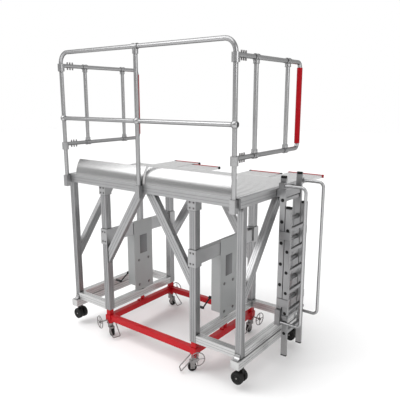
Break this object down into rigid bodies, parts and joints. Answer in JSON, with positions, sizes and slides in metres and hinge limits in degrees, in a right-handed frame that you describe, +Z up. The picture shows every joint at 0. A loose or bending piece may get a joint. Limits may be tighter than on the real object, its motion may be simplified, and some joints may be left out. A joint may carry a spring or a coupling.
{
  "type": "work platform bench",
  "caption": "Height-adjustable aluminium work platform with guard rail, side gates, pull-out boards, a sliding ladder and a red castor chassis.",
  "frame": {"origin": "bottom centre of the bounding box, on the floor under the chassis castors", "axes": "+Z up, +Y from the guard rail to the working edge, +X towards the ladder"},
  "size_m": [2.414, 1.7246, 2.837],
  "materials": {
    "red_paint": "gloss powder coat",
    "red_grip": "satin",
    "black_steel": "satin",
    "zinc": "zinc plated",
    "roller_tyre": "matt",
    "twin_tyre": "matt",
    "black_housing": "matt",
    "grey_cover": "satin",
    "deck_aluminium": "mill finish, ribbed",
    "aluminium": "anodised satin"
  },
  "bodies": {
    "chassis": {"chassis_beams": "red_paint", "chassis_legs": "red_paint", "jack_screws": "black_steel"},
    "platform": {"outer_posts": "aluminium", "inner_posts": "aluminium", "tower_bottom_rails": "aluminium", "sill_beams": "aluminium", "post_brackets": "aluminium", "lifting_yokes": "aluminium", "jack_housings": "grey_cover", "diagonal_braces": "aluminium", "deck_frame": "aluminium", "deck_planks": "deck_aluminium", "toe_boards": "aluminium", "guard_rail": "aluminium", "rail_fittings": "aluminium", "ladder_upper": "aluminium", "ladder_hangers": "aluminium", "grab_rails": "aluminium"},
    "chassis_castor_fork_front_left": {"chassis_castor_fork_front_left": "zinc"},
    "chassis_castor_wheel_front_left": {"chassis_castor_wheel_front_left": "roller_tyre"},
    "pedal_front_left": {"pedal_front_left": "zinc"},
    "hand_wheel_front_left": {"hand_wheel_front_left": "zinc"},
    "chassis_castor_fork_front_right": {"chassis_castor_fork_front_right": "zinc"},
    "chassis_castor_wheel_front_right": {"chassis_castor_wheel_front_right": "roller_tyre"},
    "pedal_front_right": {"pedal_front_right": "zinc"},
    "hand_wheel_front_right": {"hand_wheel_front_right": "zinc"},
    "chassis_castor_fork_rear_left": {"chassis_castor_fork_rear_left": "zinc"},
    "chassis_castor_wheel_rear_left": {"chassis_castor_wheel_rear_left": "roller_tyre"},
    "pedal_rear_left": {"pedal_rear_left": "zinc"},
    "hand_wheel_rear_left": {"hand_wheel_rear_left": "zinc"},
    "chassis_castor_fork_rear_right": {"chassis_castor_fork_rear_right": "zinc"},
    "chassis_castor_wheel_rear_right": {"chassis_castor_wheel_rear_right": "roller_tyre"},
    "pedal_rear_right": {"pedal_rear_right": "zinc"},
    "hand_wheel_rear_right": {"hand_wheel_rear_right": "zinc"},
    "corner_castor_fork_front_left": {"corner_castor_fork_front_left": "black_housing"},
    "corner_castor_wheels_front_left": {"corner_castor_wheels_front_left": "twin_tyre"},
    "corner_castor_fork_front_right": {"corner_castor_fork_front_right": "black_housing"},
    "corner_castor_wheels_front_right": {"corner_castor_wheels_front_right": "twin_tyre"},
    "corner_castor_fork_rear_left": {"corner_castor_fork_rear_left": "black_housing"},
    "corner_castor_wheels_rear_left": {"corner_castor_wheels_rear_left": "twin_tyre"},
    "corner_castor_fork_rear_right": {"corner_castor_fork_rear_right": "black_housing"},
    "corner_castor_wheels_rear_right": {"corner_castor_wheels_rear_right": "twin_tyre"},
    "board_one": {"pull_out_board_one": "deck_aluminium", "buffer_bar_one": "red_grip"},
    "board_two": {"pull_out_board_two": "deck_aluminium", "buffer_bar_two": "red_grip"},
    "board_three": {"pull_out_board_three": "deck_aluminium", "buffer_bar_three": "red_grip"},
    "board_four": {"pull_out_board_four": "deck_aluminium", "buffer_bar_four": "red_grip"},
    "board_five": {"pull_out_board_five": "deck_aluminium", "buffer_bar_five": "red_grip"},
    "gate_left": {"gate_left": "aluminium", "gate_sleeve_left": "red_grip"},
    "crank_left": {"crank_left": "black_steel"},
    "gate_right": {"gate_right": "aluminium", "gate_sleeve_right": "red_grip"},
    "crank_right": {"crank_right": "black_steel"},
    "ladder_lower": {"ladder_lower": "aluminium"}
  },
  "joints": [
    {"name": "lift", "type": "slide", "parent": "chassis", "child": "platform", "axis": [0, 0, 1], "range_m": [-0.045, 0.3]},
    {"name": "chassis_castor_swivel_front_left", "type": "hinge", "parent": "chassis", "child": "chassis_castor_fork_front_left", "pos_m": [-0.681, -0.7297, 0.138], "axis": [0, 0, 1], "continuous": true},
    {"name": "chassis_castor_roll_front_left", "type": "hinge", "parent": "chassis_castor_fork_front_left", "child": "chassis_castor_wheel_front_left", "pos_m": [-0.65709, -0.73701, 0.04], "axis": [0.2924, 0.9563, 0], "continuous": true},
    {"name": "pedal_hinge_front_left", "type": "hinge", "parent": "chassis", "child": "pedal_front_left", "pos_m": [-0.66379, -0.73496, 0.154], "axis": [0.2924, 0.9563, 0], "range_deg": [-30, 0]},
    {"name": "hand_wheel_turn_front_left", "type": "hinge", "parent": "chassis", "child": "hand_wheel_front_left", "pos_m": [-0.681, -0.7297, 0.171], "axis": [0.2924, 0.9563, 0], "continuous": true},
    {"name": "chassis_castor_swivel_front_right", "type": "hinge", "parent": "chassis", "child": "chassis_castor_fork_front_right", "pos_m": [0.419, -0.7297, 0.138], "axis": [0, 0, 1], "continuous": true},
    {"name": "chassis_castor_roll_front_right", "type": "hinge", "parent": "chassis_castor_fork_front_right", "child": "chassis_castor_wheel_front_right", "pos_m": [0.40293, -0.74885, 0.04], "axis": [0.766, -0.6428, 0], "continuous": true},
    {"name": "pedal_hinge_front_right", "type": "hinge", "parent": "chassis", "child": "pedal_front_right", "pos_m": [0.40743, -0.74349, 0.154], "axis": [0.766, -0.6428, 0], "range_deg": [-30, 0]},
    {"name": "hand_wheel_turn_front_right", "type": "hinge", "parent": "chassis", "child": "hand_wheel_front_right", "pos_m": [0.419, -0.7297, 0.171], "axis": [0.766, -0.6428, 0], "continuous": true},
    {"name": "chassis_castor_swivel_rear_left", "type": "hinge", "parent": "chassis", "child": "chassis_castor_fork_rear_left", "pos_m": [-0.681, 0.2133, 0.138], "axis": [0, 0, 1], "continuous": true},
    {"name": "chassis_castor_roll_rear_left", "type": "hinge", "parent": "chassis_castor_fork_rear_left", "child": "chassis_castor_wheel_rear_left", "pos_m": [-0.656, 0.2133, 0.04], "axis": [0, 1, 0], "continuous": true},
    {"name": "pedal_hinge_rear_left", "type": "hinge", "parent": "chassis", "child": "pedal_rear_left", "pos_m": [-0.663, 0.2133, 0.154], "axis": [0, 1, 0], "range_deg": [-30, 0]},
    {"name": "hand_wheel_turn_rear_left", "type": "hinge", "parent": "chassis", "child": "hand_wheel_rear_left", "pos_m": [-0.681, 0.2133, 0.171], "axis": [0, 1, 0], "continuous": true},
    {"name": "chassis_castor_swivel_rear_right", "type": "hinge", "parent": "chassis", "child": "chassis_castor_fork_rear_right", "pos_m": [0.419, 0.2133, 0.138], "axis": [0, 0, 1], "continuous": true},
    {"name": "chassis_castor_roll_rear_right", "type": "hinge", "parent": "chassis_castor_fork_rear_right", "child": "chassis_castor_wheel_rear_right", "pos_m": [0.41682, 0.1884, 0.04], "axis": [0.9962, -0.0872, 0], "continuous": true},
    {"name": "pedal_hinge_rear_right", "type": "hinge", "parent": "chassis", "child": "pedal_rear_right", "pos_m": [0.41743, 0.19537, 0.154], "axis": [0.9962, -0.0872, 0], "range_deg": [-30, 0]},
    {"name": "hand_wheel_turn_rear_right", "type": "hinge", "parent": "chassis", "child": "hand_wheel_rear_right", "pos_m": [0.419, 0.2133, 0.171], "axis": [0.9962, -0.0872, 0], "continuous": true},
    {"name": "corner_castor_swivel_front_left", "type": "hinge", "parent": "platform", "child": "corner_castor_fork_front_left", "pos_m": [-1.166, -0.7297, 0.214], "axis": [0, 0, 1], "continuous": true},
    {"name": "corner_castor_roll_front_left", "type": "hinge", "parent": "corner_castor_fork_front_left", "child": "corner_castor_wheels_front_left", "pos_m": [-1.151, -0.7297, 0.118], "axis": [0, 1, 0], "continuous": true},
    {"name": "corner_castor_swivel_front_right", "type": "hinge", "parent": "platform", "child": "corner_castor_fork_front_right", "pos_m": [0.904, -0.7297, 0.214], "axis": [0, 0, 1], "continuous": true},
    {"name": "corner_castor_roll_front_right", "type": "hinge", "parent": "corner_castor_fork_front_right", "child": "corner_castor_wheels_front_right", "pos_m": [0.889, -0.7297, 0.118], "axis": [0, 1, 0], "continuous": true},
    {"name": "corner_castor_swivel_rear_left", "type": "hinge", "parent": "platform", "child": "corner_castor_fork_rear_left", "pos_m": [-1.166, 0.2133, 0.214], "axis": [0, 0, 1], "continuous": true},
    {"name": "corner_castor_roll_rear_left", "type": "hinge", "parent": "corner_castor_fork_rear_left", "child": "corner_castor_wheels_rear_left", "pos_m": [-1.151, 0.2133, 0.118], "axis": [0, 1, 0], "continuous": true},
    {"name": "corner_castor_swivel_rear_right", "type": "hinge", "parent": "platform", "child": "corner_castor_fork_rear_right", "pos_m": [0.904, 0.2133, 0.214], "axis": [0, 0, 1], "continuous": true},
    {"name": "corner_castor_roll_rear_right", "type": "hinge", "parent": "corner_castor_fork_rear_right", "child": "corner_castor_wheels_rear_right", "pos_m": [0.889, 0.2133, 0.118], "axis": [0, 1, 0], "continuous": true},
    {"name": "board_slide_one", "type": "slide", "parent": "platform", "child": "board_one", "axis": [0, 1, 0], "range_m": [-0.579, 0.021]},
    {"name": "board_slide_two", "type": "slide", "parent": "platform", "child": "board_two", "axis": [0, 1, 0], "range_m": [-0.434, 0.166]},
    {"name": "board_slide_three", "type": "slide", "parent": "platform", "child": "board_three", "axis": [0, 1, 0], "range_m": [0, 0.6]},
    {"name": "board_slide_four", "type": "slide", "parent": "platform", "child": "board_four", "axis": [0, 1, 0], "range_m": [-0.434, 0.166]},
    {"name": "board_slide_five", "type": "slide", "parent": "platform", "child": "board_five", "axis": [0, 1, 0], "range_m": [-0.579, 0.021]},
    {"name": "gate_hinge_left", "type": "hinge", "parent": "platform", "child": "gate_left", "pos_m": [-1.131, -0.8237, 1.946], "axis": [0, 0, 1], "range_deg": [-80, 90]},
    {"name": "crank_turn_left", "type": "hinge", "parent": "platform", "child": "crank_left", "pos_m": [-0.751, -0.3532, 0.5385], "axis": [1, 0, 0], "range_deg": [-1100, 7220]},
    {"name": "gate_hinge_right", "type": "hinge", "parent": "platform", "child": "gate_right", "pos_m": [0.869, -0.8237, 1.946], "axis": [0, 0, 1], "range_deg": [-90, 80]},
    {"name": "crank_turn_right", "type": "hinge", "parent": "platform", "child": "crank_right", "pos_m": [0.349, -0.3532, 0.5385], "axis": [1, 0, 0], "range_deg": [-1100, 7220]},
    {"name": "ladder_slide", "type": "slide", "parent": "platform", "child": "ladder_lower", "axis": [0, 0, 1], "range_m": [-0.07, 0.15]}
  ],
  "couplings": [
    {"joint": "crank_turn_left", "follows": "lift", "rad_per_m": 418.88},
    {"joint": "crank_turn_right", "follows": "lift", "rad_per_m": 418.88}
  ]
}
